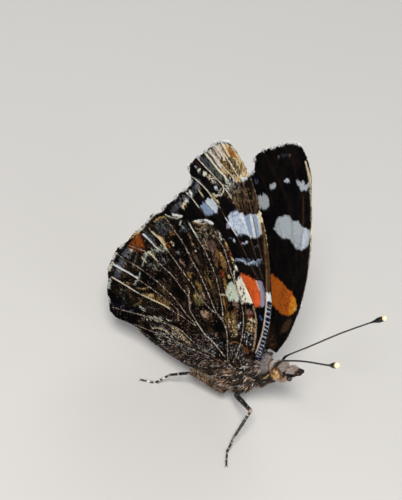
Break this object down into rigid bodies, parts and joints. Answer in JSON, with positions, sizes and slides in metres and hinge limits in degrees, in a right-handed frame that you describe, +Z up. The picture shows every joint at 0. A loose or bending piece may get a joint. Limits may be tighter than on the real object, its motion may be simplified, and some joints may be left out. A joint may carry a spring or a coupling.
{
  "type": "red admiral butterfly",
  "caption": "Life-size still model of a red admiral butterfly standing with its wings held over its back.",
  "frame": {"origin": "middle of the model's box, on the plane that the feet stand on", "axes": "+X to the head, +Y to the insect's left, +Z up"},
  "size_m": [0.0354, 0.0182, 0.0385],
  "materials": {
    "hair": "dense brown-grey hair and scales",
    "wing_scales": "matt powdery scales with white, red and ochre markings",
    "chitin": "satin dark chitin with fine pale scales",
    "eye": "faceted brown compound eye"
  },
  "bodies": {
    "root": {"abdomen": "hair", "antenna_club_left": "chitin", "antenna_club_right": "chitin", "antenna_left": "chitin", "antenna_right": "chitin", "eye_left": "eye", "eye_right": "eye", "foreleg_left": "hair", "foreleg_right": "hair", "forewing_left": "wing_scales", "forewing_right": "wing_scales", "head": "hair", "hindleg_femur_left": "chitin", "hindleg_femur_right": "chitin", "hindleg_tarsus_left": "chitin", "hindleg_tarsus_right": "chitin", "hindleg_tibia_left": "chitin", "hindleg_tibia_right": "chitin", "hindwing_left": "wing_scales", "hindwing_right": "wing_scales", "midleg_femur_left": "chitin", "midleg_femur_right": "chitin", "midleg_tarsus_left": "chitin", "midleg_tarsus_right": "chitin", "midleg_tibia_left": "chitin", "midleg_tibia_right": "chitin", "palp_left": "hair", "palp_right": "hair", "proboscis": "chitin", "thorax": "hair"}
  },
  "joints": []
}
